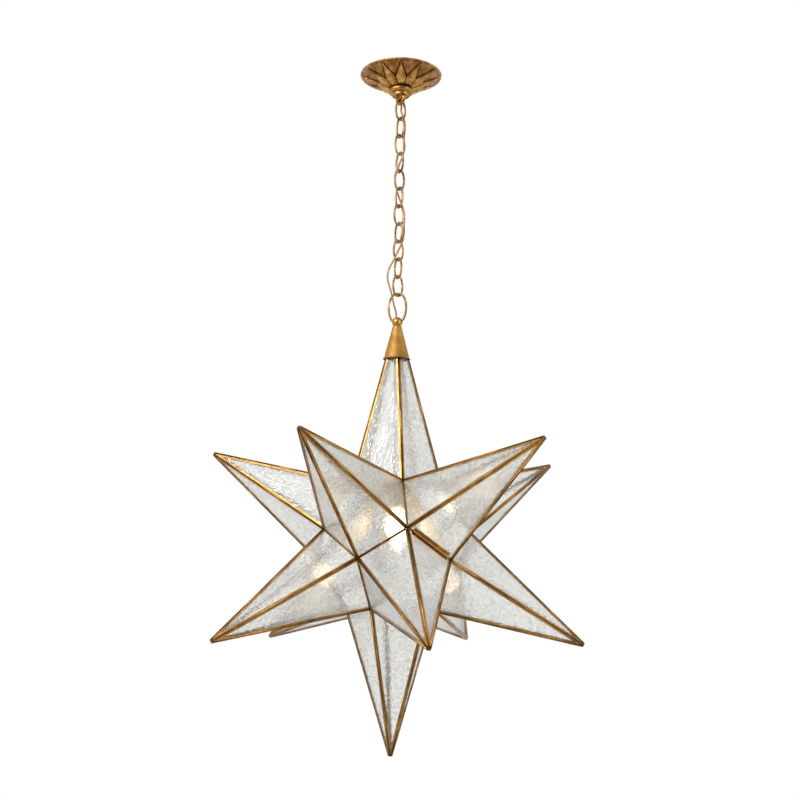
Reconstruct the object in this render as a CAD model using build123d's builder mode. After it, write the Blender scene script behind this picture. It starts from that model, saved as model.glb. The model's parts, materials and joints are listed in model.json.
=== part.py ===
from build123d import *
from math import asin, atan, atan2, cos, degrees, hypot, pi, radians, sin, sqrt, tan
import os

# A glass star lantern of twelve long points, hung from the ceiling on a chain.
# Millimetres, +Z up. The origin is the middle of the ceiling plate, in the ceiling's plane.
# The lantern hangs below it, so every height is negative. The viewer stands at -Y.

# ---------------------------------------------------------------- driving sizes
# clearances
link_gap = 0.3            # between two links that hang in each other
running_gap = 0.05        # radial, between a pin or a thread and its bore
seat_gap = 0.3            # round a piece that can be taken out

# crossbar on the outlet box
bar_length = 112.0
bar_width = 19.0
bar_thickness = 2.6
slot_spacing = 79.4       # the outlet box's screws, 70 mm or 88.9 mm apart
slot_length = 14.0
slot_width = 4.6
ground_screw_offset = 17.0

# threaded tube that carries the lantern from the crossbar
nipple_radius = 4.85
nipple_bore = 3.4
nipple_length = 27.0
nut_across_flats = 14.0
nut_height = 4.0

# ceiling canopy
canopy_radius = 69.85
canopy_edge = 2.6         # height of the rounded edge
canopy_wall = 2.2
canopy_depth = 25.0
canopy_flat_radius = 20.0 # flat middle that the collar clamps
rim_band = 4.5            # plain band between the edge and the rays
ray_count = 12
ray_height = 5.0
ray_valley_radius = 37.0  # where two rays meet
ray_sink = 1.2            # depth that a ray grows into the canopy's wall

# collar ring and the loop that it screws onto
neck_radius = 13.0
neck_length = 22.6
collar_radius = 21.65
collar_height = 9.0
collar_lip_radius = 15.4
collar_lip_height = 4.0
loop_ring_radius = 9.0    # to the middle of its wire
loop_wire = 6.5
loop_drop = 50.5          # ceiling to the middle of the loop's lowest wire
cord_outlet_radius = 8.9  # from the axis, in the underside of the neck
cord_outlet_turn = 78.0

# chain
link_count = 11
link_length = 38.3
link_width = 22.8
link_wire = 3.6
link_end_radius = 7.8
chain_turn = 36.0         # the odd links' turn from the picture plane

# hanging ring
ring_length = 53.85
ring_width = 34.6
ring_wire = 3.8
ring_end_radius = 13.0
ring_turn = -18.0

# ball finial and cap
ball_radius = 8.9
ball_seat = 7.4           # the ball's centre above its flat seat
ball_hole_rise = 0.6      # the cross hole above the ball's centre
ball_hole_margin = 0.4    # play of the ring in the ball's hole
cap_top_radius = 7.5
cap_height = 56.9
cap_wall = 1.2
cap_bead = 1.0

# the star
star_turn = -116.2        # azimuth of the first upper point
ring_apex = 355.0         # centre to the sharp apex of a slanting point
bottom_apex = 348.0
top_apex_rise = 5.5       # the top point's sharp apex above the ball's centre
valley_reach = 129.5      # centre to a corner where three points meet
cap_rim_height = 315.5    # the cap's rim above the star's centre
cap_overlap = 26.5        # the top point's glass reaches this far up inside the cap
glass_thickness = 2.5
came_thickness = 1.0
ridge_leg = 4.0           # came on each side of a ridge
rail_leg = 2.5            # came along a base edge
pane_ridge_inset = 2.5
pane_base_inset = 1.3
seam_gap = 0.35           # round the door point's base
bead_radius = 3.4         # solder on the tip of a point

# the door point's hinge
hinge_barrel_radius = 1.6
hinge_pin_radius = 0.8
hinge_length = 74.0
hinge_knuckles = 5
hinge_leaf_width = 6.5

# lamp cluster inside
stem_radius = 4.0
stem_bore = 2.6
plate_thickness = 2.0
hub_height = 106.0        # the hub's middle above the star's centre
hub_radius = 20.0
hub_length = 22.0
socket_count = 4
socket_turn = -86.0
socket_tilt = 33.0        # from straight down
socket_offset = 13.0      # the socket's root from the axis
socket_radius = 10.5
socket_length = 46.0
socket_wall = 1.6
bulb_cap_radius = 6.0
bulb_cap_length = 18.0
bulb_radius = 17.5
bulb_neck_radius = 7.2
bulb_length = 76.0

# lamp cord
cord_diameter = 3.2
# the cord's way down, woven in and out of the chain; the last point is the ball's cord hole
cord_route = [
    (1.85, 8.9, -50.5), (0.4, 0.0, -65.0), (7.0, -0.9, -80.0), (8.3, -0.5, -96.0),
    (6.8, -1.4, -111.0), (6.0, -2.5, -126.0), (6.7, -1.4, -141.0), (-0.5, -0.5, -157.0),
    (-3.2, -8.6, -172.0), (-9.0, -9.8, -188.0), (-5.2, -8.6, -204.0), (0.3, -1.0, -219.0),
    (6.9, -0.9, -235.0), (10.0, -1.0, -250.0), (9.0, -1.5, -265.0), (9.5, -2.0, -280.0),
    (6.8, -2.2, -295.0), (0.0, -8.4, -311.0), (-6.0, -8.7, -326.0), (-16.0, -8.0, -343.0),
    (-18.5, -7.0, -360.0), (-13.0, -7.0, -376.0), (-9.0, -8.0, -391.0), (-6.0, -7.0, -406.0),
]
cord_hole_offset = 4.5    # the ball's cord hole from its axis
cord_hole_floor = 5.2     # and its floor above the ball's centre
cord_entry_rise = 14.0    # straight run above the ball's centre

os.makedirs("parts", exist_ok=True)


def keep(piece, name):
    """Labels a finished piece and writes its file."""
    piece.label = name
    export_step(piece, f"parts/{name}.step")
    return piece


def direction(azimuth, elevation=0.0):
    """Unit vector at an azimuth from +X and an elevation, in degrees."""
    a, e = radians(azimuth), radians(elevation)
    return Vector(cos(e) * cos(a), cos(e) * sin(a), sin(e))


# ---------------------------------------------------------------- crossbar and nipple
with BuildPart() as crossbar:
    with BuildSketch(Plane.XY.offset(-bar_thickness)):
        RectangleRounded(bar_length, bar_width, bar_width * 0.3)
        with Locations((-slot_spacing / 2, 0), (slot_spacing / 2, 0)):
            SlotOverall(slot_length, slot_width, mode=Mode.SUBTRACT)
        Circle(nipple_radius + running_gap, mode=Mode.SUBTRACT)
        with Locations((ground_screw_offset, 0)):
            Circle(slot_width / 2 - seat_gap, mode=Mode.SUBTRACT)
    extrude(amount=bar_thickness)
keep(crossbar.part, "mounting_crossbar")

with BuildPart() as ground_screw:
    with BuildSketch(Plane.XY.offset(-bar_thickness)):
        with Locations((ground_screw_offset, 0)):
            Circle(slot_width / 2 - seat_gap - running_gap)
    extrude(amount=bar_thickness)
    with BuildSketch(Plane.XY.offset(-bar_thickness)):
        with Locations((ground_screw_offset, 0)):
            RegularPolygon(slot_width, 6)
    extrude(amount=-slot_width / 2)
keep(ground_screw.part, "ground_screw")

with BuildPart() as nipple:
    with BuildSketch(Plane.XY):
        Circle(nipple_radius)
        Circle(nipple_bore, mode=Mode.SUBTRACT)
    extrude(amount=-nipple_length)
keep(nipple.part, "threaded_nipple")

with BuildPart() as locknut:
    with BuildSketch(Plane.XY.offset(-bar_thickness)):
        RegularPolygon(nut_across_flats / 2, 6, major_radius=False)
        Circle(nipple_radius + running_gap, mode=Mode.SUBTRACT)
    extrude(amount=-nut_height)
keep(locknut.part, "nipple_locknut")

# ---------------------------------------------------------------- canopy
canopy_hole = neck_radius + seat_gap
band_radius = canopy_radius - rim_band
dish_slope = (canopy_depth - canopy_edge) / (band_radius - canopy_flat_radius)


def canopy_surface(radius):
    """Height of the canopy's visible underside at a radius."""
    return -canopy_edge - dish_slope * (band_radius - radius)


with BuildPart() as canopy:
    with BuildSketch(Plane.XZ):
        with BuildLine():
            Polyline(
                (canopy_hole, canopy_wall - canopy_depth),
                (canopy_hole, -canopy_depth),
                (canopy_flat_radius, -canopy_depth),
                (band_radius, -canopy_edge),
                (canopy_radius - canopy_edge / 2, -canopy_edge),
            )
            ThreePointArc(
                (canopy_radius - canopy_edge / 2, -canopy_edge),
                (canopy_radius, -canopy_edge / 2),
                (canopy_radius - canopy_edge / 2, 0),
            )
            Polyline(
                (canopy_radius - canopy_edge / 2, 0),
                (band_radius, 0),
                (canopy_flat_radius, canopy_wall - canopy_depth),
                (canopy_hole, canopy_wall - canopy_depth),
            )
        make_face()
    revolve(axis=Axis.Z)


def ray_section(radius, half_width, height):
    """Triangle across one ray, its ridge down, its base sunk in the canopy's wall."""
    base = canopy_surface(radius) + ray_sink
    with BuildSketch(Plane.YZ.offset(radius)) as section:
        Polygon((-half_width, base), (half_width, base), (0, base - height), align=None)
    return section.sketch


half_ray = pi / ray_count
ray_sections = [
    ray_section(canopy_flat_radius * 0.8, canopy_flat_radius * 0.8 * tan(half_ray), ray_height * 0.5),
    ray_section(ray_valley_radius, ray_valley_radius * tan(half_ray), ray_height + ray_sink),
    ray_section(band_radius - 1.0, 0.8, ray_height * 0.7 + ray_sink),
]
with BuildPart() as ray:
    loft(sections=ray_sections, ruled=True)
    with BuildSketch(Plane.XY.offset(-canopy_depth)):
        Circle(canopy_hole)
    extrude(amount=canopy_depth, both=True, mode=Mode.SUBTRACT)
    with BuildSketch(Plane.XY.offset(-canopy_depth)):
        Rectangle(3 * canopy_radius, 3 * canopy_radius)
    extrude(amount=-canopy_depth, mode=Mode.SUBTRACT)
with BuildPart() as sunburst_canopy:
    add(canopy.part)
    with PolarLocations(0, ray_count, start_angle=-90):
        add(ray.part)
keep(sunburst_canopy.part, "canopy")

# ---------------------------------------------------------------- collar ring and loop
collar_bottom = canopy_depth + collar_height
with BuildPart() as collar:
    with BuildSketch(Plane.XZ):
        with BuildLine():
            bore = neck_radius + running_gap
            Polyline(
                (bore, -canopy_depth),
                (collar_radius - collar_height / 2, -canopy_depth),
            )
            ThreePointArc(
                (collar_radius - collar_height / 2, -canopy_depth),
                (collar_radius, -canopy_depth - collar_height / 2),
                (collar_radius - collar_height / 2, -collar_bottom),
            )
            Polyline(
                (collar_radius - collar_height / 2, -collar_bottom),
                (collar_lip_radius, -collar_bottom),
                (collar_lip_radius - 0.6, -collar_bottom - collar_lip_height),
                (bore, -collar_bottom - collar_lip_height),
                (bore, -canopy_depth),
            )
        make_face()
    revolve(axis=Axis.Z)
keep(collar.part, "collar_ring")

neck_bottom = canopy_depth + collar_height + collar_lip_height - 0.8
chain_plane_odd = Plane((0, 0, 0), x_dir=direction(chain_turn), z_dir=direction(chain_turn - 90))
chain_plane_even = Plane((0, 0, 0), x_dir=direction(chain_turn - 90), z_dir=direction(chain_turn - 180))
ring_plane = Plane((0, 0, 0), x_dir=direction(ring_turn), z_dir=direction(ring_turn - 90))
outlet = direction(cord_outlet_turn) * cord_outlet_radius
with BuildPart() as canopy_loop:
    with BuildSketch(Plane.XY.offset(-neck_bottom)):
        Circle(neck_radius)
    extrude(amount=neck_length)
    chamfer(canopy_loop.edges().group_by(Axis.Z)[0], 1.0)
    with Locations(Plane((0, 0, loop_ring_radius - loop_drop), z_dir=direction(chain_turn - 180))):
        Torus(loop_ring_radius, loop_wire / 2)
    with BuildSketch(Plane.XY.offset(-nipple_length)):
        Circle(nipple_radius + running_gap)
    extrude(amount=nipple_length, mode=Mode.SUBTRACT)
    with BuildSketch(Plane.XY.offset(-neck_bottom)):
        with Locations((outlet.X, outlet.Y)):
            Circle(cord_diameter / 2 + running_gap)
    extrude(amount=3 * cord_diameter, mode=Mode.SUBTRACT)
keep(canopy_loop.part, "canopy_loop")


# ---------------------------------------------------------------- chain and hanging ring
def oval_loop(plane, height, length, width, wire, end_radius):
    """Closed oval of round wire, in a plane: two end arcs and two flatter side arcs."""
    a, b = (width - wire) / 2, (length - wire) / 2
    side_radius = (a * a + (b - end_radius) ** 2 - end_radius**2) / (2 * (a - end_radius))
    spread = atan2(b - end_radius, side_radius - a)
    corner = (side_radius * cos(spread) - side_radius + a, side_radius * sin(spread))
    with BuildPart() as loop:
        with BuildLine(plane.offset(0)) as path:
            low, high = height - corner[1], height + corner[1]
            RadiusArc((corner[0], low), (corner[0], high), -side_radius)
            RadiusArc((corner[0], high), (-corner[0], high), -end_radius)
            RadiusArc((-corner[0], high), (-corner[0], low), -side_radius)
            RadiusArc((-corner[0], low), (corner[0], low), -end_radius)
        start = path.line.edges()[0]
        with BuildSketch(Plane(start @ 0, z_dir=start % 0)):
            Circle(wire / 2)
        sweep(path=path.wires()[0])
    return loop.part


pivots = [-loop_drop]     # heights of the chain's hinge lines, from the loop down
link_top = -loop_drop + loop_wire / 2 + link_gap + link_wire / 2
for number in range(1, link_count + 1):
    link_plane = chain_plane_odd if number % 2 else chain_plane_even
    link_bottom = link_top - (link_length - link_wire)
    link = oval_loop(link_plane, (link_top + link_bottom) / 2, link_length, link_width,
                     link_wire, link_end_radius)
    keep(link, f"chain_link_{number:02d}")
    pivots.append(link_bottom)
    link_top = link_bottom + link_wire + link_gap

ring_top = pivots[-1] + link_wire / 2 + link_gap + ring_wire / 2
ring_bottom = ring_top - (ring_length - ring_wire)
hanging_ring = oval_loop(ring_plane, (ring_top + ring_bottom) / 2, ring_length, ring_width,
                         ring_wire, ring_end_radius)
keep(hanging_ring, "hanging_ring")
pivots.append(ring_bottom)

# ---------------------------------------------------------------- ball finial
# the ring's bottom arc rises this much between the ball's middle and its surface
ring_rise = ring_end_radius - sqrt(ring_end_radius**2 - ball_radius**2 * 0.9)
ball_hole = (ring_rise + ring_wire) / 2 + ball_hole_margin
hole_height = ring_bottom + ring_rise / 2
ball_height = hole_height - ball_hole_rise
ball_bottom = ball_height - ball_seat
stem_top = ball_bottom + 2.2
cord_entry = direction(ring_turn - 90) * cord_hole_offset
with BuildPart() as ball:
    with Locations((0, 0, ball_height)):
        Sphere(ball_radius)
    with BuildSketch(Plane.XY.offset(ball_bottom)):
        Circle(2 * ball_radius)
    extrude(amount=-ball_radius, mode=Mode.SUBTRACT)
    with BuildSketch(Plane((0, 0, hole_height), x_dir=(0, 0, 1), z_dir=direction(ring_turn))):
        Circle(ball_hole)
    extrude(amount=2 * ball_radius, both=True, mode=Mode.SUBTRACT)
    with BuildSketch(Plane.XY.offset(ball_bottom)):
        Circle(stem_radius + running_gap)
    extrude(amount=stem_top - ball_bottom, mode=Mode.SUBTRACT)
    with BuildSketch(Plane.XY.offset(ball_height + cord_hole_floor)):
        with Locations((cord_entry.X, cord_entry.Y)):
            Circle(cord_diameter / 2 + running_gap)
    extrude(amount=ball_radius, mode=Mode.SUBTRACT)
keep(ball.part, "ball_finial")

# ---------------------------------------------------------------- lamp cord
cord_points = [Vector(outlet.X, outlet.Y, -neck_bottom + 2.0)] + [Vector(*p) for p in cord_route]
cord_points.append(Vector(cord_entry.X, cord_entry.Y, ball_height + cord_entry_rise))
cord_points.append(Vector(cord_entry.X, cord_entry.Y, ball_height + cord_hole_floor))


def corner_radius(before, corner, after):
    """Widest bend at a corner that leaves a tenth of the shorter run straight."""
    back, on = before - corner, after - corner
    turn = radians(180 - back.get_angle(on))
    return 0.45 * min(back.length, on.length) / tan(turn / 2)


cord_radii = [corner_radius(*cord_points[i:i + 3]) for i in range(len(cord_points) - 2)]
with BuildPart() as cord:
    with BuildLine() as cord_line:
        FilletPolyline(*cord_points, radius=cord_radii)
    with BuildSketch(Plane(cord_line.line @ 0, z_dir=cord_line.line % 0)):
        Circle(cord_diameter / 2)
    sweep(path=cord_line.wires()[0])
keep(cord.part, "lamp_cord")

# ---------------------------------------------------------------- the star's proportions
# The star's centre sees a point's tip, and a corner of its base, this far apart:
corner_angle = degrees(atan(2 / (3 + sqrt(5)) * 2))
base_radius = valley_reach * sin(radians(corner_angle))
base_height = valley_reach * cos(radians(corner_angle))
base_inradius = base_radius * cos(pi / 5)
base_edge = 2 * base_radius * sin(pi / 5)
base_fall = degrees(atan2(base_inradius, base_height))
ring_elevation = degrees(atan(0.5))
top_cut_height = cap_rim_height + cap_overlap
top_apex = cap_rim_height + cap_height + ball_seat + top_apex_rise
top_slope = base_inradius / (top_apex - base_height)
top_skin = came_thickness / sin(atan(top_slope))

# ---------------------------------------------------------------- cone cap
top_rim_radius = (top_apex + top_skin - cap_rim_height) * top_slope / cos(pi / 5)
cap_bottom_radius = top_rim_radius + seat_gap + cap_wall
cap_rim = ball_bottom - cap_height
star_height = cap_rim - cap_rim_height
with BuildPart() as cap:
    with BuildSketch(Plane.XZ):
        with BuildLine():
            Polyline(
                (stem_radius + running_gap, ball_bottom),
                (cap_top_radius, ball_bottom),
                (cap_bottom_radius, cap_rim),
                (cap_bottom_radius - cap_wall, cap_rim),
                (cap_top_radius - cap_wall, ball_bottom - cap_wall),
                (stem_radius + running_gap, ball_bottom - cap_wall),
                close=True,
            )
        make_face()
        with Locations((cap_bottom_radius, cap_rim + cap_bead)):
            Circle(cap_bead)
    revolve(axis=Axis.Z)
keep(cap.part, "cone_cap")

# ---------------------------------------------------------------- the star's points


def pyramid(apex, growth=0.0):
    """Five-sided point in its own frame, from the star's centre out to its tip.

    growth moves its faces out by that distance and leaves its base planes alone."""
    face_distance = apex * sin(atan2(base_inradius, apex - base_height))
    scale = 1 + growth / face_distance
    with BuildPart() as solid:
        with BuildSketch(Plane.XY.offset(base_height * scale)) as base:
            RegularPolygon(base_radius * scale, 5, rotation=36)
        loft(sections=[Vertex(0, 0, 0), base.sketch.face(), Vertex(0, 0, apex * scale)], ruled=True)
    return solid.part


def face_plane(apex, side):
    """Plane of one of a point's five faces: origin at the middle of its base edge, Y to the tip."""
    out = direction(72 * side)
    middle = out * base_inradius + Vector(0, 0, base_height)
    tip = Vector(0, 0, apex)
    along = Vector(0, 0, 1).cross(out)
    return Plane(middle, x_dir=along, z_dir=along.cross(tip - middle))


def inset_triangle(apex, ridge_inset, base_inset):
    """Corners of a face's triangle, drawn in from its ridges and its base edge."""
    slant = hypot(base_inradius, apex - base_height)
    half = atan(base_edge / 2 / slant)
    top = slant - ridge_inset / sin(half)
    reach = (top - base_inset) * tan(half)
    return (-reach, base_inset), (reach, base_inset), (0, top)


def point_frame(apex, gap=0.0, cut=None):
    """The came frame of one point: its skin with five windows, a bead on its tip."""
    far = 2 * ring_apex
    with BuildPart() as frame:
        add(pyramid(apex, came_thickness))
        add(pyramid(apex), mode=Mode.SUBTRACT)
        for side in range(5):
            with BuildSketch(face_plane(apex, side).offset(-came_thickness)):
                Polygon(*inset_triangle(apex, ridge_leg, rail_leg), align=None)
            extrude(amount=3 * came_thickness, mode=Mode.SUBTRACT)
        if gap:
            shift = gap / sin(radians(base_fall))
            with BuildSketch(Plane.XY.offset(far)) as mouth:
                RegularPolygon((far - shift) * base_radius / base_height, 5, rotation=36)
            loft(sections=[Vertex(0, 0, shift), mouth.sketch.face()], ruled=True, mode=Mode.INTERSECT)
        if cut:
            with BuildSketch(Plane.XY.offset(cut)):
                Circle(far)
            extrude(amount=far, mode=Mode.SUBTRACT)
        else:
            face_fall = atan2(base_inradius, apex - base_height)
            skin_apex = apex + came_thickness / sin(face_fall)
            bead_height = skin_apex - bead_radius / sin(face_fall)
            with BuildSketch(Plane.XY.offset(bead_height)):
                Circle(far)
            extrude(amount=far, mode=Mode.SUBTRACT)
            with Locations((0, 0, bead_height)):
                Sphere(bead_radius + came_thickness * 0.1)
    return frame.part


def point_glass(apex, cut=None):
    """The five panes of one point, each a separate sheet behind its window."""
    panes = []
    for side in range(5):
        with BuildPart() as pane:
            with BuildSketch(face_plane(apex, side)):
                Polygon(*inset_triangle(apex, pane_ridge_inset, pane_base_inset), align=None)
            extrude(amount=-glass_thickness)
            if cut:
                with BuildSketch(Plane.XY.offset(cut)):
                    Circle(2 * ring_apex)
                extrude(amount=2 * ring_apex, mode=Mode.SUBTRACT)
        panes.append(pane.part)
    return panes


def point_plane(toward, facing):
    """Plane of a point: Z along it, X towards a neighbouring point."""
    across = facing - toward * facing.dot(toward)
    return Plane((0, 0, star_height), x_dir=across.normalized(), z_dir=toward)


def placed(plane, pieces):
    """Pieces drawn at the origin, put in a plane's frame as one part of separate solids."""
    with BuildPart() as group:
        with Locations(plane.location):
            for piece in pieces:
                add(piece)
    return group.part


up, down = Vector(0, 0, 1), Vector(0, 0, -1)
upper = [direction(star_turn + 72 * i, ring_elevation) for i in range(5)]
lower = [direction(star_turn + 36 + 72 * i, -ring_elevation) for i in range(5)]
upper_names = ["upper_front_left", "upper_front_right", "upper_back_right", "upper_back", "upper_left"]
lower_names = ["lower_front", "lower_right", "lower_back_right", "lower_back_left", "lower_left"]
door_plane = point_plane(lower[0], upper[1])

ring_frame, ring_glass = point_frame(ring_apex), point_glass(ring_apex)
for name, toward in list(zip(upper_names, upper)) + list(zip(lower_names[1:], lower[1:])):
    plane = point_plane(toward, up if toward.Z > 0 else down)
    keep(placed(plane, [ring_frame]), f"frame_{name}")
    keep(placed(plane, ring_glass), f"glass_{name}")
keep(placed(point_plane(down, lower[0]), [point_frame(bottom_apex)]), "frame_bottom")
keep(placed(point_plane(down, lower[0]), point_glass(bottom_apex)), "glass_bottom")
keep(placed(point_plane(up, upper[0]), [point_frame(top_apex, cut=top_cut_height)]), "frame_top")
keep(placed(point_plane(up, upper[0]), point_glass(top_apex, cut=top_cut_height)), "glass_top")
keep(placed(door_plane, [point_frame(ring_apex, gap=seam_gap)]), "frame_door")
keep(placed(door_plane, ring_glass), "glass_door")

# ---------------------------------------------------------------- door hinge
# Seen along the base edge that the door shares with its upper right neighbour, the two
# faces open from the valley line at the same angle on both sides.
valley_half = radians(base_fall) + atan2(base_inradius, ring_apex - base_height)
hinge_offset = (came_thickness + seat_gap + hinge_barrel_radius) / sin(valley_half)
valley_middle = Vector(base_inradius, 0, base_height)
hinge_plane = Plane(valley_middle, x_dir=valley_middle.normalized(), z_dir=(0, -1, 0))
knuckle_length = hinge_length / hinge_knuckles


def hinge_leaf(side):
    """One leaf with its knuckles, in the door's frame: side 1 lies on the door, -1 on its neighbour."""
    along = hinge_plane.x_dir * cos(valley_half) + hinge_plane.y_dir * (side * sin(valley_half))
    foot = hinge_offset * cos(valley_half)
    width = foot + hinge_barrel_radius - rail_leg
    web = hinge_offset * sin(valley_half)
    half = hinge_length / 2
    with BuildPart() as leaf:
        face = Plane(valley_middle, x_dir=along, z_dir=hinge_plane.z_dir).offset(-half)
        with BuildSketch(face):
            with Locations((rail_leg + hinge_leaf_width / 2, -side * came_thickness / 2)):
                Rectangle(hinge_leaf_width, came_thickness)
        extrude(amount=hinge_length)
        for knuckle in range(0 if side < 0 else 1, hinge_knuckles, 2):
            start = knuckle * knuckle_length + seat_gap / 2
            with BuildSketch(face.offset(start)):
                with Locations((foot, -side * web)):
                    Circle(hinge_barrel_radius)
                with Locations((rail_leg + width / 2, -side * web / 2)):
                    Rectangle(width, web)
            extrude(amount=knuckle_length - seat_gap)
        with BuildSketch(hinge_plane.offset(-half)):
            with Locations((hinge_offset, 0)):
                Circle(hinge_pin_radius + running_gap)
        extrude(amount=hinge_length, mode=Mode.SUBTRACT)
    return leaf.part


with BuildPart() as hinge_pin:
    with BuildSketch(hinge_plane.offset(-hinge_length / 2)):
        with Locations((hinge_offset, 0)):
            Circle(hinge_pin_radius)
    extrude(amount=hinge_length)
keep(placed(door_plane, [hinge_leaf(1)]), "hinge_leaf_door")
keep(placed(door_plane, [hinge_leaf(-1)]), "hinge_leaf_frame")
keep(placed(door_plane, [hinge_pin.part]), "hinge_pin")

# ---------------------------------------------------------------- lamp cluster
plate_bottom = star_height + top_cut_height
plate_radius = (top_apex - top_cut_height - plate_thickness) * top_slope / cos(pi / 5)
with BuildPart() as top_plate:
    with BuildSketch(Plane.XY.offset(plate_bottom)):
        RegularPolygon(plate_radius, 5, rotation=star_turn + 36)
        Circle(stem_radius + running_gap, mode=Mode.SUBTRACT)
    extrude(amount=plate_thickness)
keep(top_plate.part, "top_plate")

with BuildPart() as stem_nut:
    with BuildSketch(Plane.XY.offset(plate_bottom)):
        RegularPolygon(stem_radius * 1.4, 6, major_radius=False)
        Circle(stem_radius + running_gap, mode=Mode.SUBTRACT)
    extrude(amount=-nut_height)
keep(stem_nut.part, "stem_nut")

hub_top = star_height + hub_height + hub_length / 2
stem_bottom = hub_top - hub_length / 3
with BuildPart() as stem:
    with BuildSketch(Plane.XY.offset(stem_bottom)):
        Circle(stem_radius)
        Circle(stem_bore, mode=Mode.SUBTRACT)
    extrude(amount=stem_top - stem_bottom)
keep(stem.part, "stem_tube")


def socket_plane(number, reach=0.0):
    """Plane across a socket, its Z along the socket away from the hub."""
    azimuth = socket_turn + 360 / socket_count * number
    along = direction(azimuth, socket_tilt - 90)
    root = direction(azimuth) * socket_offset + Vector(0, 0, hub_top - hub_length * 0.6)
    return Plane(root + along * reach, x_dir=direction(azimuth + 90), z_dir=along)


with BuildPart() as hub:
    with BuildSketch(Plane.XY.offset(hub_top)):
        Circle(hub_radius)
    extrude(amount=-hub_length)
    fillet(hub.edges().group_by(Axis.Z)[-1], hub_length * 0.4)
    fillet(hub.edges().group_by(Axis.Z)[0], hub_length * 0.2)
    with BuildSketch(Plane.XY.offset(stem_bottom)):
        Circle(stem_radius + running_gap)
    extrude(amount=hub_length, mode=Mode.SUBTRACT)
    for number in range(socket_count):
        with BuildSketch(socket_plane(number)):
            Circle(socket_radius * 0.6)
        extrude(amount=hub_radius * 0.7)
hub_reach = hub_radius * 0.7
keep(hub.part, "lamp_hub")

sockets, bulb_caps, bulb_globes = [], [], []
for number in range(socket_count):
    with BuildPart() as socket:
        with BuildSketch(socket_plane(number, hub_reach)):
            Circle(socket_radius)
        extrude(amount=socket_length)
        with BuildSketch(socket_plane(number, hub_reach + socket_length - bulb_cap_length)):
            Circle(bulb_cap_radius + seat_gap)
        extrude(amount=bulb_cap_length, mode=Mode.SUBTRACT)
    sockets.append(socket.part)
    with BuildPart() as bulb_cap:
        with BuildSketch(socket_plane(number, hub_reach + socket_length - bulb_cap_length)):
            Circle(bulb_cap_radius)
        extrude(amount=bulb_cap_length)
    bulb_caps.append(bulb_cap.part)
    with BuildPart() as globe:
        mouth = socket_plane(number, hub_reach + socket_length)
        with BuildSketch(Plane(mouth.origin, x_dir=mouth.x_dir, z_dir=-mouth.y_dir)):
            with BuildLine():
                Polyline((0, bulb_length), (0, 0), (bulb_neck_radius, 0))
                Spline(
                    (bulb_neck_radius, 0),
                    (bulb_radius, bulb_length * 0.38),
                    (bulb_radius * 0.3, bulb_length * 0.88),
                    (0, bulb_length),
                    tangents=((0.5, 1), (-1, 0.6)),
                )
            make_face()
        revolve(axis=Axis(mouth.origin, mouth.z_dir))
    bulb_globes.append(globe.part)
keep(placed(Plane.XY, sockets), "candle_sockets")
keep(placed(Plane.XY, bulb_caps), "bulb_screw_caps")
keep(placed(Plane.XY, bulb_globes), "bulb_globes")
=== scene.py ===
import bpy
import bmesh
import json
import math
from itertools import combinations
from mathutils import Matrix, Vector


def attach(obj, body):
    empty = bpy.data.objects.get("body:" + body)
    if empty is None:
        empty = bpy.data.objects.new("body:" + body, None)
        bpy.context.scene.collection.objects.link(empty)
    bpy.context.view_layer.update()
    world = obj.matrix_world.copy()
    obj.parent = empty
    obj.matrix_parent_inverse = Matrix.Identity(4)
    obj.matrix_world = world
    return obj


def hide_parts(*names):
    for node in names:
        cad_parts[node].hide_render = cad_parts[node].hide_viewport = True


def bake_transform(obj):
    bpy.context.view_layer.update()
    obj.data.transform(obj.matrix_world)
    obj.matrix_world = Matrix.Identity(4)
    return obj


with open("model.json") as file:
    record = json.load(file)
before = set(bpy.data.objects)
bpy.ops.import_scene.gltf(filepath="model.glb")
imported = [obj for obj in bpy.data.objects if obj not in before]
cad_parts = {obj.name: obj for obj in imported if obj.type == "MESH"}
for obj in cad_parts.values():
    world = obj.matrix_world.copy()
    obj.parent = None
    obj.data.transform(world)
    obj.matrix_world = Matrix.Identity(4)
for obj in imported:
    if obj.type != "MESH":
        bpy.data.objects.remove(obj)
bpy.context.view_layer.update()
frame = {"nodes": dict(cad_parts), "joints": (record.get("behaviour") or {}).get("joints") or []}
scene = bpy.context.scene
MM = 0.001

# ------------------------------------------------------------------ camera
PITCH, ROLL = math.radians(5.18), math.radians(0.89)
STANDS = (0.0093, -2.010, -0.910)       # a little under the ceiling, looking slightly up
LENS, SENSOR, SHIFT_UP = 54.44, 36.0, 0.12


def camera():
    data = bpy.data.cameras.new("photo_camera")
    data.lens, data.sensor_width, data.shift_y = LENS, SENSOR, SHIFT_UP
    data.clip_start, data.clip_end = 0.05, 60
    obj = bpy.data.objects.new("photo_camera", data)
    scene.collection.objects.link(obj)
    ahead = Vector((0, math.cos(PITCH), math.sin(PITCH)))
    right, up = Vector((1, 0, 0)), Vector((0, -math.sin(PITCH), math.cos(PITCH)))
    right, up = (math.cos(ROLL) * right + math.sin(ROLL) * up,
                 math.cos(ROLL) * up - math.sin(ROLL) * right)
    turn = Matrix((right, up, -ahead)).transposed().to_4x4()
    obj.matrix_world = Matrix.Translation(STANDS) @ turn
    scene.camera = obj


camera()
scene.view_settings.view_transform = "Standard"
scene.view_settings.look = "None"


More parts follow.
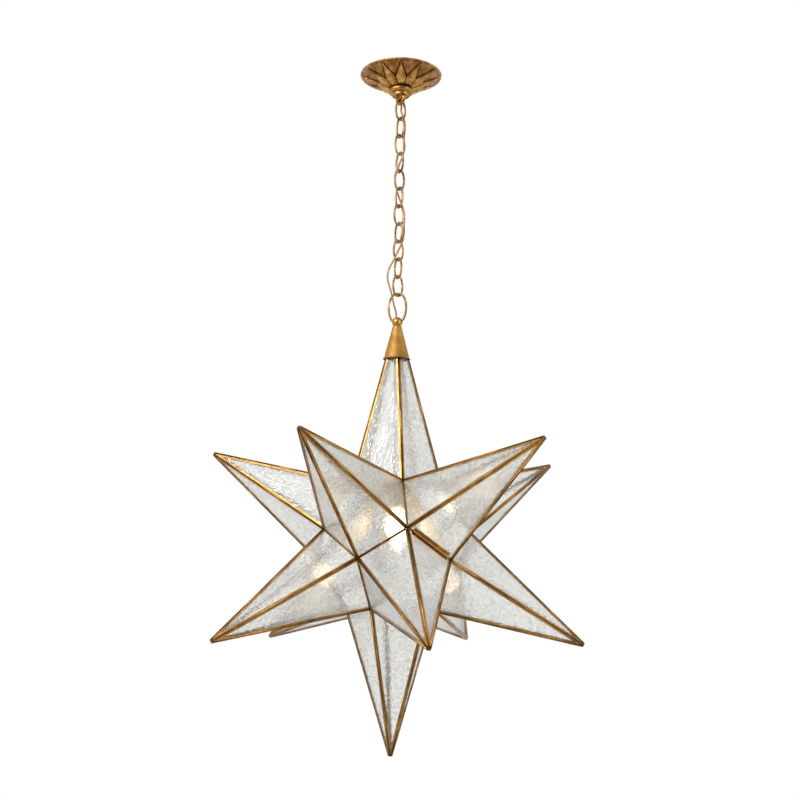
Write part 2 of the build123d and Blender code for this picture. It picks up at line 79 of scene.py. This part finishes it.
# ------------------------------------------------------------------ materials
class Nodes:
    """Short hands for building a node tree."""

    def __init__(self, tree, keep=False):
        self.tree = tree
        if not keep:
            tree.nodes.clear()

    def add(self, kind, **values):
        node = self.tree.nodes.new(kind)
        for key, value in values.items():
            if hasattr(node, key) and key not in node.inputs:
                setattr(node, key, value)
            else:
                node.inputs[key].default_value = value
        return node

    def join(self, a, b):
        self.tree.links.new(a, b)

    def ramp(self, source, stops, interpolation="LINEAR"):
        node = self.tree.nodes.new("ShaderNodeValToRGB")
        node.color_ramp.interpolation = interpolation
        points = node.color_ramp.elements
        while len(points) < len(stops):
            points.new(0.5)
        for point, (where, colour) in zip(points, stops):
            point.position = where
            point.color = (*colour, 1)
        self.join(source, node.inputs[0])
        return node


def new_material(name):
    material = bpy.data.materials.new(name)
    material.use_nodes = True
    tree = Nodes(material.node_tree)
    out = tree.add("ShaderNodeOutputMaterial")
    shader = tree.add("ShaderNodeBsdfPrincipled")
    tree.join(shader.outputs[0], out.inputs[0])
    place = tree.add("ShaderNodeTexCoord")
    return material, tree, shader, place.outputs["Object"]


def gilded(name, dark, mid, light, grain, patch, rough, bump):
    """Antique gilding: brown in the hollows of a fine grain, gold on top, larger patches of both."""
    material, tree, shader, place = new_material(name)
    shader.inputs["Metallic"].default_value = 1.0
    patches = tree.add("ShaderNodeTexNoise", Scale=patch, Detail=4.0, Roughness=0.6)
    grains = tree.add("ShaderNodeTexNoise", Scale=grain, Detail=6.0, Roughness=0.7)
    speck = tree.add("ShaderNodeTexVoronoi", Scale=grain * 2.2)
    for node in (patches, grains, speck):
        tree.join(place, node.inputs["Vector"])
    mix = tree.add("ShaderNodeMath", operation="MULTIPLY_ADD")
    tree.join(grains.outputs[0], mix.inputs[0])
    mix.inputs[1].default_value = 0.55          # the grain's share beside the patches
    tree.join(patches.outputs[0], mix.inputs[2])
    scaled = tree.add("ShaderNodeMath", operation="MULTIPLY")
    tree.join(mix.outputs[0], scaled.inputs[0])
    scaled.inputs[1].default_value = 0.65       # brings the sum back to about 0.5
    colour = tree.ramp(scaled.outputs[0], [(0.32, dark), (0.5, mid), (0.68, light)])
    tree.join(colour.outputs[0], shader.inputs["Base Color"])
    roughness = tree.add("ShaderNodeMapRange")
    tree.join(grains.outputs[0], roughness.inputs[0])
    roughness.inputs["To Min"].default_value = rough[1]
    roughness.inputs["To Max"].default_value = rough[0]
    tree.join(roughness.outputs[0], shader.inputs["Roughness"])
    bumps = tree.add("ShaderNodeBump", Strength=bump, Distance=0.0006)
    height = tree.add("ShaderNodeMath", operation="ADD")
    tree.join(grains.outputs[0], height.inputs[0])
    tree.join(speck.outputs["Distance"], height.inputs[1])
    tree.join(height.outputs[0], bumps.inputs["Height"])
    tree.join(bumps.outputs[0], shader.inputs["Normal"])
    return material


def sunburst(name):
    """The canopy's finish, set by a value on each point of its relief: smoky patina on the ground, painted
    shadow as dark outlines along the rays' edges, and bright hammered rays painted lighter toward their
    ridges.
    """
    material = gilded(name, (0.13, 0.058, 0.016), (0.50, 0.29, 0.09), (0.98, 0.68, 0.30),
                      grain=230, patch=75, rough=(0.24, 0.46), bump=1.0)
    tree = Nodes(material.node_tree, keep=True)
    shader = next(n for n in tree.tree.nodes if n.type == "BSDF_PRINCIPLED")
    gold = shader.inputs["Base Color"].links[0].from_socket
    patina_and_painted_shade = tree.add("ShaderNodeAttribute", attribute_name="patina_and_painted_shade")
    # ground patina near 0, painted shadow as a dark band at 0.28 to 0.36, rays painted lighter toward 1
    shade = tree.ramp(patina_and_painted_shade.outputs["Fac"], [(0.0, (0.60, 0.43, 0.35)), (0.18, (0.54, 0.38, 0.31)),
                                              (0.28, (0.06, 0.045, 0.035)), (0.36, (0.08, 0.06, 0.045)),
                                              (0.48, (0.66, 0.55, 0.42)), (1.0, (1.05, 0.90, 0.70))])
    final = tree.add("ShaderNodeMix", data_type="RGBA", blend_type="MULTIPLY")
    final.inputs[0].default_value = 1.0
    tree.join(gold, final.inputs[6])
    tree.join(shade.outputs[0], final.inputs[7])
    tree.join(final.outputs[2], shader.inputs["Base Color"])
    return material


def rippled_glass(name, tint, haze):
    """Rolled glass: fine ripples, slow waves, small seeds, and a little haze that the bulbs light up."""
    ripple_height, wave_height, seed_height = 0.62, 1.5, 0.10
    material, tree, shader, place = new_material(name)
    shader.inputs["Transmission Weight"].default_value = 1 - haze
    shader.inputs["IOR"].default_value = 1.42
    waves = tree.add("ShaderNodeTexNoise", Scale=210.0, Detail=2.0, Roughness=0.5)
    slow = tree.add("ShaderNodeTexNoise", Scale=24.0, Detail=2.0, Roughness=0.5)
    seeds = tree.add("ShaderNodeTexVoronoi", Scale=260.0)
    for node in (waves, slow, seeds):
        tree.join(place, node.inputs["Vector"])
    mottle = tree.ramp(waves.outputs[0], [(0.34, [c * 0.84 for c in tint]), (0.48, tint),
                                          (0.62, [min(1, c * 1.06) for c in tint])])
    tree.join(mottle.outputs[0], shader.inputs["Base Color"])
    seed = tree.ramp(seeds.outputs["Distance"], [(0.0, (1, 1, 1)), (0.16, (0, 0, 0))])
    one = tree.add("ShaderNodeMath", operation="MULTIPLY_ADD")
    tree.join(seed.outputs[0], one.inputs[0])
    one.inputs[1].default_value = seed_height
    fine = tree.add("ShaderNodeMath", operation="MULTIPLY")
    tree.join(waves.outputs[0], fine.inputs[0])
    fine.inputs[1].default_value = ripple_height
    tree.join(fine.outputs[0], one.inputs[2])
    two = tree.add("ShaderNodeMath", operation="MULTIPLY_ADD")
    tree.join(slow.outputs[0], two.inputs[0])
    two.inputs[1].default_value = wave_height
    tree.join(one.outputs[0], two.inputs[2])
    bumps = tree.add("ShaderNodeBump", Strength=1.0, Distance=0.0011)
    tree.join(two.outputs[0], bumps.inputs["Height"])
    tree.join(bumps.outputs[0], shader.inputs["Normal"])
    rough = tree.add("ShaderNodeMapRange")
    tree.join(slow.outputs[0], rough.inputs[0])
    rough.inputs["To Min"].default_value = 0.03
    rough.inputs["To Max"].default_value = 0.09
    tree.join(rough.outputs[0], shader.inputs["Roughness"])
    return material


def plain(name, colour, rough, metal=0.0, grain=180.0, spread=0.12):
    """Even finish with a fine grain in its colour and roughness."""
    material, tree, shader, place = new_material(name)
    shader.inputs["Metallic"].default_value = metal
    grains = tree.add("ShaderNodeTexNoise", Scale=grain, Detail=4.0)
    tree.join(place, grains.inputs["Vector"])
    low, high = [c * (1 - spread) for c in colour], [min(1, c * (1 + spread)) for c in colour]
    shade = tree.ramp(grains.outputs[0], [(0.3, low), (0.7, high)])
    tree.join(shade.outputs[0], shader.inputs["Base Color"])
    roughness = tree.add("ShaderNodeMapRange")
    tree.join(grains.outputs[0], roughness.inputs[0])
    roughness.inputs["To Min"].default_value = rough * 0.8
    roughness.inputs["To Max"].default_value = rough * 1.2
    tree.join(roughness.outputs[0], shader.inputs["Roughness"])
    return material


def lit_bulb(name, colour, strength):
    material, tree, shader, place = new_material(name)
    swirl = tree.add("ShaderNodeTexNoise", Scale=30.0, Detail=2.0)
    tree.join(place, swirl.inputs["Vector"])
    shade = tree.ramp(swirl.outputs[0], [(0.3, [c * 0.93 for c in colour]), (0.7, colour)])
    tree.join(shade.outputs[0], shader.inputs["Base Color"])
    shader.inputs["Roughness"].default_value = 0.35
    shader.inputs["Emission Color"].default_value = (*colour, 1)
    shader.inputs["Emission Strength"].default_value = strength
    return material


canopy_gold = sunburst("canopy_gold")
chain_gold = gilded("chain_gold", (0.07, 0.03, 0.009), (0.32, 0.17, 0.055), (0.60, 0.37, 0.13),
                    grain=220, patch=60, rough=(0.3, 0.5), bump=0.3)
cap_gold = gilded("cap_gold", (0.20, 0.092, 0.022), (0.40, 0.205, 0.052), (0.58, 0.33, 0.095),
                  grain=260, patch=40, rough=(0.35, 0.5), bump=0.22)
cone_gold = gilded("cone_gold", (0.22, 0.105, 0.026), (0.40, 0.205, 0.052), (0.56, 0.31, 0.085),
                   grain=300, patch=40, rough=(0.55, 0.68), bump=0.22)
came_gold = gilded("came_gold", (0.10, 0.045, 0.012), (0.36, 0.19, 0.05), (0.66, 0.39, 0.12),
                   grain=200, patch=26, rough=(0.24, 0.42), bump=0.25)
# painted shade: the beads and the hinge pin are darker than the cames, for the dark core where they mirror
# the room and for the shadowed hinge bar
bead_painted_dark = gilded("bead_painted_dark", (0.055, 0.024, 0.007), (0.20, 0.10, 0.028), (0.42, 0.24, 0.075),
                    grain=160, patch=20, rough=(0.22, 0.38), bump=0.3)
solder_bright = plain("solder_bright", (0.62, 0.56, 0.47), 0.25, 1.0)
pane_glass = rippled_glass("pane_glass", (0.935, 0.935, 0.915), 0.10)
zinc = plain("zinc", (0.62, 0.62, 0.60), 0.35, 1.0)
sleeve = plain("candle_sleeve", (0.80, 0.70, 0.50), 0.5)
screw_brass = plain("screw_brass", (0.70, 0.50, 0.25), 0.3, 1.0)
bulb = lit_bulb("bulb_lit", (1.0, 0.80, 0.55), 7.0)
side_bulb = lit_bulb("side_bulb", (0.96, 0.88, 0.74), 0.32)
cord_gold = plain("cord_gold", (0.40, 0.24, 0.085), 0.32, 0.0, grain=400, spread=0.3)

# The first name that a node's name starts with gives its look; what has none here is plated steel.
LOOKS = {"canopy_loop": cap_gold, "canopy": canopy_gold, "collar_ring": cap_gold,
         "chain": chain_gold, "hanging_ring": chain_gold, "ball_finial": cap_gold, "cone_cap": cone_gold,
         "frame": came_gold, "glass": pane_glass, "hinge_leaf": came_gold, "hinge_pin": bead_painted_dark,
         "lamp_hub": cap_gold, "candle_sockets": sleeve, "bulb_screw_caps": screw_brass,
         "bulb_globes": bulb, "lamp_cord": cord_gold}


def dress(obj, material):
    obj.data.materials.clear()
    obj.data.materials.append(material)


for name, node in frame["nodes"].items():
    key = next((k for k in LOOKS if name.startswith(k)), None)
    dress(node, LOOKS[key] if key else zinc)

globes = frame["nodes"]["bulb_globes"].data        # the front bulb is the bright one in the photograph
globes.materials.append(side_bulb)
for face in globes.polygons:
    face.material_index = 0 if face.center.y < -abs(face.center.x) else 1


# ------------------------------------------------------------------ the canopy's sunburst
def canopy():
    """The canopy of the CAD, its twelve rays with sharp outlines and grooves, all in millimetres; each point
    also gets a value for the finish, with painted shadow along the rays' edges and painted highlight along
    their ridges.
    """
    hole, flat, band, rim = 13.3, 20.0, 65.35, 69.85        # radii
    deep, edge, wall = 25.0, 2.6, 2.2
    tip, notch, half = 63.5, 36.0, math.radians(15)         # a ray's tip, the notch beside it, half its turn
    painted_shadow_width, base, rise, flank = 1.3, 2.2, 2.3, 0.9         # a ray's painted shadow outline, its height, its sides
    steps, around = 84, 384
    corner = Vector((notch * math.cos(half), notch * math.sin(half)))
    slope = (deep - edge) / (band - flat)

    def place(radius, turn):
        dish = -deep if radius < flat else -edge - slope * (band - radius)
        a = abs((turn + math.pi / 2 + half) % (2 * half) - half)
        x, y = radius * math.cos(a), radius * math.sin(a)
        wide = x * math.tan(half) if x < corner.x else max(0.0, corner.y * (tip - x) / (tip - corner.x))
        w = y / wide if wide > 0.05 else 9.0
        # off a ray: painted shadow as a dark outline along its edge, fading into the ground's patina
        if w >= 1:
            near = (y - wide) if radius > notch - 1 else 0.0
            return dish, (0.30 if near < painted_shadow_width else 0.30 - 0.22 * min(1.0, (near - painted_shadow_width) / 1.5))
        tall = base + rise * math.sin(math.pi * min(1.0, max(0.0, (radius - flat) / (tip - flat))))
        side = min(1.0, (wide - y) / flank)
        height = tall * (1 - 0.62 * w) * side
        # on a ray: painted highlight toward the ridge and painted shade toward the flanks
        return max(dish - height, -deep), 0.34 + 0.66 * (1 - 0.8 * w) * side

    mesh, patina_and_painted_shade = bpy.data.meshes.new("sunburst_canopy"), []
    bm = bmesh.new()
    radii = [hole + (band - hole) * k / steps for k in range(steps + 1)]
    edge_line = [(band + 1.6, -edge), (rim - edge / 2, -edge)]
    edge_line += [(rim - edge / 2 + edge / 2 * math.sin(t), -edge / 2 - edge / 2 * math.cos(t))
                  for t in (math.pi * k / 8 for k in range(1, 9))]
    back = [(flat + (rim - edge / 2 - flat) * (1 - k / 6), (wall - deep) * k / 6) for k in range(1, 7)]
    back += [(hole, wall - deep)]
    rows = []
    for radius in radii:
        row = []
        for k in range(around):
            turn = 2 * math.pi * k / around
            z, value = place(radius, turn)
            row.append(bm.verts.new((radius * math.cos(turn) * MM, radius * math.sin(turn) * MM, z * MM)))
            patina_and_painted_shade.append(value)
        rows.append(row)
    for radius, z in edge_line + back:
        rows.append([bm.verts.new((radius * math.cos(2 * math.pi * k / around) * MM,
                                   radius * math.sin(2 * math.pi * k / around) * MM, z * MM))
                     for k in range(around)])
        patina_and_painted_shade.extend([0.62] * around)
    for one, two in zip(rows, rows[1:] + rows[:1]):
        for k in range(around):
            bm.faces.new((one[k], two[k], two[(k + 1) % around], one[(k + 1) % around]))
    bmesh.ops.recalc_face_normals(bm, faces=bm.faces)
    for face in bm.faces:
        face.smooth = True
    bm.to_mesh(mesh)
    bm.free()
    mesh.attributes.new("patina_and_painted_shade", "FLOAT", "POINT").data.foreach_set("value", patina_and_painted_shade)
    obj = bpy.data.objects.new("sunburst_canopy", mesh)
    scene.collection.objects.link(obj)
    mesh.set_sharp_from_angle(angle=math.radians(35))
    dress(obj, canopy_gold)
    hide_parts("canopy")
    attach(obj, "canopy_cover")


canopy()

# ------------------------------------------------------------------ the lamp cord
# The same route as the CAD cord, in millimetres, from the loop's neck to the ball's shoulder.
CORD = [
    (1.85, 8.7, -35.2), (1.85, 8.9, -50.5), (0.4, 0.0, -65.0), (7.0, -0.9, -80.0), (8.3, -0.5, -96.0),
    (6.8, -1.4, -111.0), (6.0, -2.5, -126.0), (6.7, -1.4, -141.0), (-0.5, -0.5, -157.0),
    (-3.2, -8.6, -172.0), (-9.0, -9.8, -188.0), (-5.2, -8.6, -204.0), (0.3, -1.0, -219.0),
    (6.9, -0.9, -235.0), (10.0, -1.0, -250.0), (9.0, -1.5, -265.0), (9.5, -2.0, -280.0),
    (6.8, -2.2, -295.0), (0.0, -8.4, -311.0), (-6.0, -8.7, -326.0), (-16.0, -8.0, -343.0),
    (-18.5, -7.0, -360.0), (-13.0, -7.0, -376.0), (-9.0, -8.0, -391.0), (-6.0, -7.0, -406.0),
    (-1.39, -4.28, -418.9), (-1.39, -4.28, -427.7),
]
CORD_WIDE = 3.2 * MM
PIVOTS = [j["pos_m"][2] for j in frame["joints"] if j["name"].startswith(("loop", "link", "ring"))]


def spline_line(points, detail=24):
    """Points along a smooth NURBS curve through the route, as Blender works it out."""
    curve = bpy.data.curves.new("route", "CURVE")
    curve.dimensions, curve.resolution_u = "3D", detail
    spline = curve.splines.new("NURBS")
    spline.points.add(len(points) - 1)
    for point, where in zip(spline.points, points):
        point.co = (*[c * MM for c in where], 1)
    spline.order_u = 3
    spline.use_endpoint_u = True
    obj = bpy.data.objects.new("route", curve)
    scene.collection.objects.link(obj)
    mesh = bpy.data.meshes.new_from_object(obj)
    line = [v.co.copy() for v in mesh.vertices]
    bpy.data.objects.remove(obj)
    bpy.data.meshes.remove(mesh)
    return line


def tube(name, line, radius, sides=12):
    """Mesh tube along a line, with ends."""
    mesh = bpy.data.meshes.new(name)
    bm = bmesh.new()
    rings, across = [], None
    for i, p in enumerate(line):
        along = (line[min(i + 1, len(line) - 1)] - line[max(i - 1, 0)]).normalized()
        if across is None:
            across = along.orthogonal().normalized()
        across = (across - along * across.dot(along)).normalized()
        other = along.cross(across)
        rings.append([bm.verts.new(p + radius * (math.cos(t) * across + math.sin(t) * other))
                      for t in (2 * math.pi * k / sides for k in range(sides))])
    for a, b in zip(rings, rings[1:]):
        for k in range(sides):
            bm.faces.new((a[k], a[(k + 1) % sides], b[(k + 1) % sides], b[k]))
    bm.faces.new(rings[0][::-1])
    bm.faces.new(rings[-1])
    for face in bm.faces:
        face.smooth = len(face.verts) == 4
    bm.to_mesh(mesh)
    bm.free()
    obj = bpy.data.objects.new(name, mesh)
    scene.collection.objects.link(obj)
    return obj


def cord():
    """One piece for each crossing of the chain, all the same length."""
    line = spline_line(CORD)
    whole = sum((b - a).length for a, b in zip(line, line[1:]))
    share = whole / len(PIVOTS)
    parts, done = [[line[0]]], 0.0
    for a, b in zip(line, line[1:]):
        step = (b - a).length
        while len(parts) < len(PIVOTS) and done + step >= share * len(parts):
            cut = a.lerp(b, (share * len(parts) - done) / step)
            parts[-1].append(cut)
            parts.append([cut])
        parts[-1].append(b)
        done += step
    for n, part in enumerate(parts):
        obj = tube("lamp_cord_%02d" % n, part, CORD_WIDE / 2)
        dress(obj, cord_gold)
        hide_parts("lamp_cord")
        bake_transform(obj)


cord()

# ------------------------------------------------------------------ solder beads along the cames
HEART = Vector((0, 0, -0.81274))       # the star's centre
REACH, REACH_DOWN, REACH_UP = 0.355, 0.348, 0.3853
VALLEY, CAP_RIM = 0.1295, 0.3155
TURN = math.radians(-116.2)
PROUD, RIDGE_BEAD, VALLEY_BEAD, DOOR_BEAD, CORNER = 0.4, 1.75, 1.7, 1.4, 2.6       # millimetres
POINTS = ["top", "upper_front_left", "upper_front_right", "upper_back_right", "upper_back", "upper_left",
          "door", "lower_right", "lower_back_right", "lower_back_left", "lower_left", "bottom"]
DOOR = POINTS.index("door")
HINGED = {POINTS.index("upper_front_right"), DOOR}      # the valley that the hinge fills has no bead


def directions():
    """The twelve points' directions: up, five leaning up, five leaning down, down."""
    lean = math.atan(0.5)
    found = [Vector((0, 0, 1))]
    for side, start in ((1, 0), (-1, 36)):
        for k in range(5):
            turn = TURN + math.radians(start + 72 * k)
            found.append(Vector((math.cos(lean) * math.cos(turn), math.cos(lean) * math.sin(turn),
                                 side * math.sin(lean))))
    return found + [Vector((0, 0, -1))]


def sphere(bm, where, radius):
    bmesh.ops.create_icosphere(bm, subdivisions=2, radius=radius, matrix=Matrix.Translation(where))


def bead_tube(bm, a, b, radius, sides=10):
    along = (b - a).normalized()
    across = along.orthogonal().normalized()
    other = along.cross(across)
    rings = []
    for p in (a, b):
        rings.append([bm.verts.new(p + radius * (math.cos(t) * across + math.sin(t) * other))
                      for t in (2 * math.pi * k / sides for k in range(sides))])
    for k in range(sides):
        bm.faces.new((rings[0][k], rings[0][(k + 1) % sides], rings[1][(k + 1) % sides], rings[1][k]))
    bm.faces.new(rings[0][::-1])
    bm.faces.new(rings[1])


def beads(name, bm, material, body):
    """Finish one bead mesh and let it ride on its body."""
    for face in bm.faces:
        face.smooth = True
    mesh = bpy.data.meshes.new(name)
    bm.to_mesh(mesh)
    bm.free()
    obj = bpy.data.objects.new(name, mesh)
    scene.collection.objects.link(obj)
    dress(obj, material)
    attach(obj, body)


def solder_beads():
    """Round beads on every ridge, valley and corner of the star; the door has its own."""
    ways = directions()
    tips = [HEART + way * (REACH_UP if n == 0 else REACH_DOWN if n == 11 else REACH)
            for n, way in enumerate(ways)]
    corners = {trio: HEART + VALLEY * sum((ways[n] for n in trio), Vector()).normalized()
               for trio in combinations(range(12), 3)
               if all(ways[a].dot(ways[b]) > 0.4 for a, b in combinations(trio, 2))}
    meshes = {name: bmesh.new() for name in POINTS}
    for n, name in enumerate(POINTS):
        for key, corner in corners.items():
            if n not in key:
                continue
            line = (corner - tips[n]).normalized()
            axis = (corner - HEART) - ways[n] * (corner - HEART).dot(ways[n])
            proud = (axis - line * axis.dot(line)).normalized() * PROUD * MM
            start = tips[n] + line * (6 * MM)
            if n == 0:
                start = tips[0] + line * ((REACH_UP - CAP_RIM - PROUD * MM) / -line.z)
            bead_tube(meshes[name], start + proud, corner + proud - line * (1.5 * MM), RIDGE_BEAD * MM)
    for one, two in combinations(corners, 2):
        both = set(one) & set(two)
        if len(both) != 2 or both == HINGED:
            continue
        a, b = corners[one], corners[two]
        middle, along = (a + b) / 2, (b - a).normalized()
        if DOOR in both:
            toward = tips[DOOR] - middle
            shift = (toward - along * toward.dot(along)).normalized() * RIDGE_BEAD * MM
            bead_tube(meshes["door"], a + shift + along * 3 * MM, b + shift - along * 3 * MM, DOOR_BEAD * MM)
        else:
            shift = (middle - HEART).normalized() * 0.7 * MM
            bead_tube(meshes[POINTS[min(both)]], a + shift, b + shift, VALLEY_BEAD * MM)
    for trio, corner in corners.items():
        if DOOR not in trio:
            out = (corner - HEART).normalized()
            sphere(meshes[POINTS[trio[0]]], corner + out * 0.5 * MM, CORNER * MM)
    for name, bm in meshes.items():
        beads("beads_" + name, bm, bead_painted_dark, "door" if name == "door" else "star")
    spot = bmesh.new()          # a bright spot of fresh solder by the front corner
    corner, above = corners[(1, 2, 6)], corners[(0, 1, 2)]
    aside, out = (above - corner).normalized(), (corner - HEART).normalized()
    sphere(spot, corner + aside * 2.4 * MM + out * 1.2 * MM, 2.3 * MM)
    beads("solder_spot", spot, solder_bright, "star")


solder_beads()

# ------------------------------------------------------------------ room
def studio():
    """White behind the object; as light, a soft sky that is dim below and toward the camera."""
    world = bpy.data.worlds.new("studio")
    world.use_nodes = True
    scene.world = world
    sky = Nodes(world.node_tree)
    out = sky.add("ShaderNodeOutputWorld")
    seen = sky.add("ShaderNodeBackground", Strength=1.0)
    seen.inputs[0].default_value = (1, 1, 1, 1)
    lighting = sky.add("ShaderNodeBackground", Strength=0.85)
    place = sky.add("ShaderNodeTexCoord")
    split = sky.add("ShaderNodeSeparateXYZ")
    sky.join(place.outputs["Generated"], split.inputs[0])
    height = sky.add("ShaderNodeMapRange")
    sky.join(split.outputs["Z"], height.inputs[0])
    height.inputs["From Min"].default_value = -1
    shade = sky.ramp(height.outputs[0], [(0.0, (0.12, 0.11, 0.10)), (0.45, (0.45, 0.44, 0.42)),
                                         (0.62, (0.95, 0.95, 0.95)), (1.0, (1.0, 1.0, 1.0))])
    front = sky.add("ShaderNodeMapRange")
    sky.join(split.outputs["Y"], front.inputs[0])
    for socket, value in (("From Min", -0.95), ("From Max", 0.1), ("To Min", 0.12), ("To Max", 1.0)):
        front.inputs[socket].default_value = value
    dim = sky.add("ShaderNodeVectorMath", operation="SCALE")
    sky.join(shade.outputs[0], dim.inputs[0])
    sky.join(front.outputs[0], dim.inputs["Scale"])
    sky.join(dim.outputs[0], lighting.inputs[0])
    rays = sky.add("ShaderNodeLightPath")
    through = sky.add("ShaderNodeMath", operation="MAXIMUM")
    sky.join(rays.outputs["Is Camera Ray"], through.inputs[0])
    sky.join(rays.outputs["Is Transmission Ray"], through.inputs[1])
    shiny = sky.add("ShaderNodeMath", operation="MULTIPLY")        # metal shows the white backdrop too
    sky.join(rays.outputs["Is Glossy Ray"], shiny.inputs[0])
    sky.join(front.outputs[0], shiny.inputs[1])
    white = sky.add("ShaderNodeMath", operation="MAXIMUM")
    sky.join(through.outputs[0], white.inputs[0])
    sky.join(shiny.outputs[0], white.inputs[1])
    mix = sky.add("ShaderNodeMixShader")
    sky.join(white.outputs[0], mix.inputs[0])
    sky.join(lighting.outputs[0], mix.inputs[1])
    sky.join(seen.outputs[0], mix.inputs[2])
    sky.join(mix.outputs[0], out.inputs[0])


def area_light(name, where, target, size, power, shine=True):
    data = bpy.data.lights.new(name, "AREA")
    data.shape, data.size, data.energy = "DISK", size, power
    obj = bpy.data.objects.new(name, data)
    scene.collection.objects.link(obj)
    obj.location = where
    obj.rotation_euler = (Vector(target) - Vector(where)).to_track_quat("-Z", "Y").to_euler()
    obj.visible_camera = False
    obj.visible_transmission = False
    obj.visible_glossy = shine


def echoes():
    """The lamps again, as weak glows where the photograph's back panes mirror them."""
    places = ((0.100, 0.0, -0.736), (-0.118, 0.0, -0.862), (0.091, 0.0, -0.868), (-0.106, 0.0, -0.734))
    for where in places:
        data = bpy.data.lights.new("bulb_echo", "POINT")
        data.energy, data.color, data.shadow_soft_size = 0.010, (1.0, 0.80, 0.55), 0.020
        echo = bpy.data.objects.new("bulb_echo", data)
        scene.collection.objects.link(echo)
        echo.location = where
        echo.visible_camera = False
        echo.parent = frame["nodes"]["lamp_hub"]                 # so the glows swing with the star


def floor():
    wide, low = 3.0, -2.9
    mesh = bpy.data.meshes.new("floor")
    bm = bmesh.new()
    bmesh.ops.create_circle(bm, cap_ends=True, segments=96, radius=wide)
    bm.to_mesh(mesh)
    bm.free()
    obj = bpy.data.objects.new("floor", mesh)
    scene.collection.objects.link(obj)
    obj.location = (0, 0, low)
    dress(obj, plain("floor_white", (0.86, 0.86, 0.86), 0.7, 0.0, grain=3, spread=0.01))


studio()
area_light("key", (-1.8, -2.2, 0.9), (0, 0, -0.7), 1.2, 90)
area_light("fill", (2.4, -1.6, -0.2), (0, 0, -0.8), 1.2, 25)
area_light("back", (0.6, 2.4, 0.6), (0, 0, -0.6), 1.0, 40, shine=False)
echoes()
floor()
